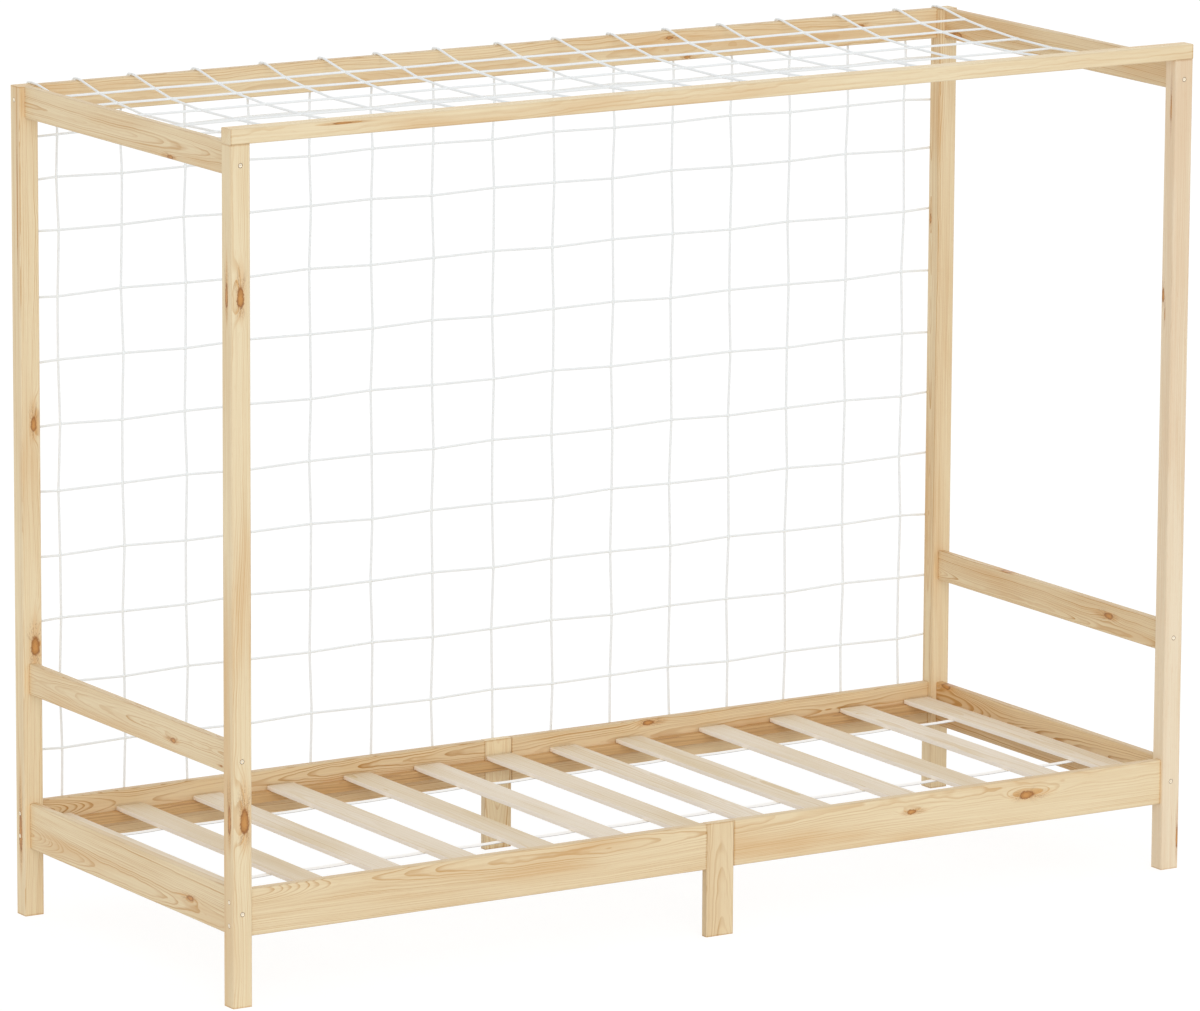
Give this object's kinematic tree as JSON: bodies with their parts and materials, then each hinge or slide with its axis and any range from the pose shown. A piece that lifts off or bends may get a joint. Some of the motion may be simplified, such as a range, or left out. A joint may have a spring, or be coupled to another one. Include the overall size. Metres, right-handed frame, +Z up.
{
  "type": "kids bed",
  "caption": "Slatted kids bed in the form of a football goal, with tall posts, a crossbar, end guard rails and a cord net over the top and back",
  "frame": {"origin": "on the floor, under the middle of the bed", "axes": "+X along the bed's length to the right seen from the open front, +Y from the open front to the netted back, +Z up"},
  "size_m": [2.06, 0.8189, 1.58],
  "materials": {
    "pine": "planed solid pine under a clear matt lacquer",
    "slat_wood": "planed pale pine, unlacquered",
    "webbing": "woven flat polyester tape",
    "net_cord": "twisted white polypropylene cord, knotted",
    "bolt_steel": "zinc plated"
  },
  "bodies": {
    "root": {"post_front_left": "pine", "post_front_right": "pine", "post_rear_left": "pine", "post_rear_right": "pine", "front_crossbar": "pine", "rear_top_rail": "pine", "top_end_rail_left": "pine", "top_end_rail_right": "pine", "guard_rail_left": "pine", "guard_rail_right": "pine", "end_board_left": "pine", "end_board_right": "pine", "side_rail_front_left": "pine", "side_rail_front_right": "pine", "centre_leg_front": "pine", "ledger_front": "pine", "side_rail_rear_left": "pine", "side_rail_rear_right": "pine", "centre_leg_rear": "pine", "ledger_rear": "pine", "slat_01": "slat_wood", "slat_02": "slat_wood", "slat_03": "slat_wood", "slat_04": "slat_wood", "slat_05": "slat_wood", "slat_06": "slat_wood", "slat_07": "slat_wood", "slat_08": "slat_wood", "slat_09": "slat_wood", "slat_10": "slat_wood", "slat_11": "slat_wood", "slat_12": "slat_wood", "slat_13": "slat_wood", "slat_tape_front": "webbing", "slat_tape_rear": "webbing", "bolt_end_board_front_left": "bolt_steel", "bolt_guard_rail_front_left": "bolt_steel", "bolt_top_end_rail_front_left": "bolt_steel", "bolt_side_rail_front_left_lower": "bolt_steel", "bolt_side_rail_front_left_upper": "bolt_steel", "bolt_end_board_rear_left": "bolt_steel", "bolt_guard_rail_rear_left": "bolt_steel", "bolt_top_end_rail_rear_left": "bolt_steel", "bolt_side_rail_rear_left_lower": "bolt_steel", "bolt_side_rail_rear_left_upper": "bolt_steel", "bolt_rear_top_rail_left": "bolt_steel", "bolt_end_board_front_right": "bolt_steel", "bolt_guard_rail_front_right": "bolt_steel", "bolt_top_end_rail_front_right": "bolt_steel", "bolt_side_rail_front_right_lower": "bolt_steel", "bolt_side_rail_front_right_upper": "bolt_steel", "bolt_end_board_rear_right": "bolt_steel", "bolt_guard_rail_rear_right": "bolt_steel", "bolt_top_end_rail_rear_right": "bolt_steel", "bolt_side_rail_rear_right_lower": "bolt_steel", "bolt_side_rail_rear_right_upper": "bolt_steel", "bolt_rear_top_rail_right": "bolt_steel", "net_back": "net_cord", "net_top": "net_cord"}
  },
  "joints": []
}
